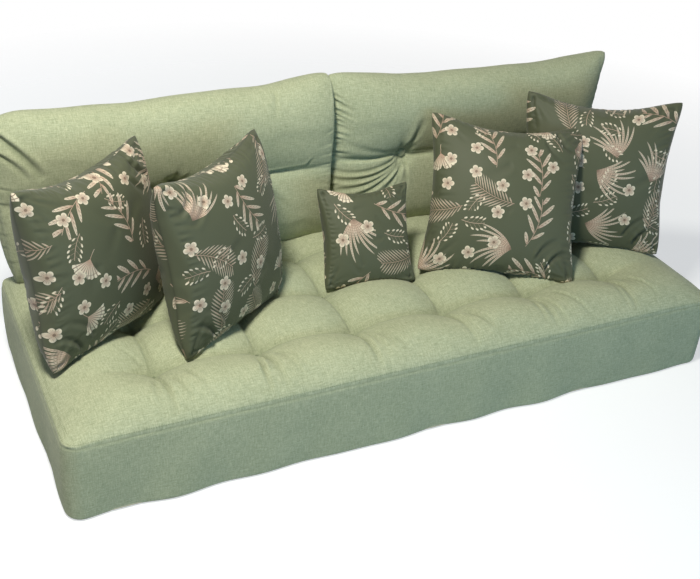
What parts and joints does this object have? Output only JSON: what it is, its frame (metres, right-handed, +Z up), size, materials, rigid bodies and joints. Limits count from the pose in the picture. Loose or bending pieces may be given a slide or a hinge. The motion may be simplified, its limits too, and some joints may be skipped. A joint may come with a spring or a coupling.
{
  "type": "futon",
  "caption": "Floor futon set: boxed, tufted seat cushion with button-tufted back cushions and printed throw pillows, each with filling and zip.",
  "frame": {"origin": "centre of the seat cushion's flat underside, on the floor", "axes": "+X along the seat to the right as seen from the front, +Y towards the back cushions, +Z up"},
  "size_m": [1.9204, 0.8086, 0.7383],
  "materials": {
    "sage_linen": "matte",
    "printed_satin": "satin",
    "foam": "matte",
    "wadding": "matte",
    "fibre_fill": "matte",
    "twine": "matte",
    "zip_tape": "satin",
    "zip_metal": "satin"
  },
  "bodies": {
    "seat": {"seat_top_panel": "sage_linen", "seat_border": "sage_linen", "seat_bottom_panel": "sage_linen", "seat_foam_core": "foam", "seat_wadding": "wadding", "seat_tuft_knots": "twine", "seat_tuft_twines": "twine", "seat_zip": "zip_tape"},
    "seat_zip_slider": {"seat_zip_slider": "zip_metal"},
    "seat_zip_pull": {"seat_zip_pull": "zip_metal"},
    "left_back": {"left_back_wrap_panel": "sage_linen", "left_back_end_panels": "sage_linen", "left_back_filling": "fibre_fill", "left_back_buttons": "sage_linen", "left_back_twines": "twine", "left_back_zip": "zip_tape"},
    "left_back_zip_slider": {"left_back_zip_slider": "zip_metal"},
    "left_back_zip_pull": {"left_back_zip_pull": "zip_metal"},
    "right_back": {"right_back_wrap_panel": "sage_linen", "right_back_end_panels": "sage_linen", "right_back_filling": "fibre_fill", "right_back_buttons": "sage_linen", "right_back_twines": "twine", "right_back_zip": "zip_tape"},
    "right_back_zip_slider": {"right_back_zip_slider": "zip_metal"},
    "right_back_zip_pull": {"right_back_zip_pull": "zip_metal"},
    "pillow_1": {"pillow_1_front_panel": "printed_satin", "pillow_1_rear_panel": "printed_satin", "pillow_1_insert": "fibre_fill", "pillow_1_zip": "zip_tape"},
    "pillow_1_zip_slider": {"pillow_1_zip_slider": "zip_metal"},
    "pillow_2": {"pillow_2_front_panel": "printed_satin", "pillow_2_rear_panel": "printed_satin", "pillow_2_insert": "fibre_fill", "pillow_2_zip": "zip_tape"},
    "pillow_2_zip_slider": {"pillow_2_zip_slider": "zip_metal"},
    "pillow_3": {"pillow_3_front_panel": "printed_satin", "pillow_3_rear_panel": "printed_satin", "pillow_3_insert": "fibre_fill", "pillow_3_zip": "zip_tape"},
    "pillow_3_zip_slider": {"pillow_3_zip_slider": "zip_metal"},
    "pillow_4": {"pillow_4_front_panel": "printed_satin", "pillow_4_rear_panel": "printed_satin", "pillow_4_insert": "fibre_fill", "pillow_4_zip": "zip_tape"},
    "pillow_4_zip_slider": {"pillow_4_zip_slider": "zip_metal"},
    "pillow_5": {"pillow_5_front_panel": "printed_satin", "pillow_5_rear_panel": "printed_satin", "pillow_5_insert": "fibre_fill", "pillow_5_zip": "zip_tape"},
    "pillow_5_zip_slider": {"pillow_5_zip_slider": "zip_metal"}
  },
  "joints": [
    {"name": "seat_zip_slide", "type": "slide", "parent": "seat", "child": "seat_zip_slider", "axis": [-1, 0, 0], "range_m": [0, 1.176]},
    {"name": "seat_zip_pull_swing", "type": "hinge", "parent": "seat_zip_slider", "child": "seat_zip_pull", "pos_m": [0.588, 0.4062, 0.1124], "axis": [0, 0, -1], "range_deg": [0, 180]},
    {"name": "left_back_lift", "type": "slide", "parent": "seat", "child": "left_back", "axis": [0, 0, 1], "range_m": [0, 0.55]},
    {"name": "left_back_zip_slide", "type": "slide", "parent": "left_back", "child": "left_back_zip_slider", "axis": [-1, 0, 0], "range_m": [0, 0.576]},
    {"name": "left_back_zip_pull_swing", "type": "hinge", "parent": "left_back_zip_slider", "child": "left_back_zip_pull", "pos_m": [-0.187, 0.40068, 0.30516], "axis": [0, -0.1073, -0.9942], "range_deg": [0, 180]},
    {"name": "right_back_lift", "type": "slide", "parent": "seat", "child": "right_back", "axis": [0, 0, 1], "range_m": [0, 0.55]},
    {"name": "right_back_zip_slide", "type": "slide", "parent": "right_back", "child": "right_back_zip_slider", "axis": [-1, 0, 0], "range_m": [0, 0.576]},
    {"name": "right_back_zip_pull_swing", "type": "hinge", "parent": "right_back_zip_slider", "child": "right_back_zip_pull", "pos_m": [0.763, 0.40068, 0.30516], "axis": [0, -0.1073, -0.9942], "range_deg": [0, 180]},
    {"name": "pillow_1_lift", "type": "slide", "parent": "seat", "child": "pillow_1", "axis": [0, 0, 1], "range_m": [0, 0.55]},
    {"name": "pillow_1_zip_slide", "type": "slide", "parent": "pillow_1", "child": "pillow_1_zip_slider", "axis": [-0.8221, -0.5683, 0.0344], "range_m": [0, 0.276]},
    {"name": "pillow_2_lift", "type": "slide", "parent": "seat", "child": "pillow_2", "axis": [0, 0, 1], "range_m": [0, 0.55]},
    {"name": "pillow_2_zip_slide", "type": "slide", "parent": "pillow_2", "child": "pillow_2_zip_slider", "axis": [-0.8211, -0.5705, 0.0171], "range_m": [0, 0.276]},
    {"name": "pillow_3_lift", "type": "slide", "parent": "seat", "child": "pillow_3", "axis": [0, 0, 1], "range_m": [0, 0.55]},
    {"name": "pillow_3_zip_slide", "type": "slide", "parent": "pillow_3", "child": "pillow_3_zip_slider", "axis": [-0.9935, 0.1129, 0.0153], "range_m": [0, 0.126]},
    {"name": "pillow_4_lift", "type": "slide", "parent": "seat", "child": "pillow_4", "axis": [0, 0, 1], "range_m": [0, 0.55]},
    {"name": "pillow_4_zip_slide", "type": "slide", "parent": "pillow_4", "child": "pillow_4_zip_slider", "axis": [-0.8904, 0.4543, 0.0299], "range_m": [0, 0.276]},
    {"name": "pillow_5_lift", "type": "slide", "parent": "seat", "child": "pillow_5", "axis": [0.5, 0, 0.866], "range_m": [0, 0.55]},
    {"name": "pillow_5_zip_slide", "type": "slide", "parent": "pillow_5", "child": "pillow_5_zip_slider", "axis": [-0.8329, 0.5523, -0.034], "range_m": [0, 0.276]}
  ]
}
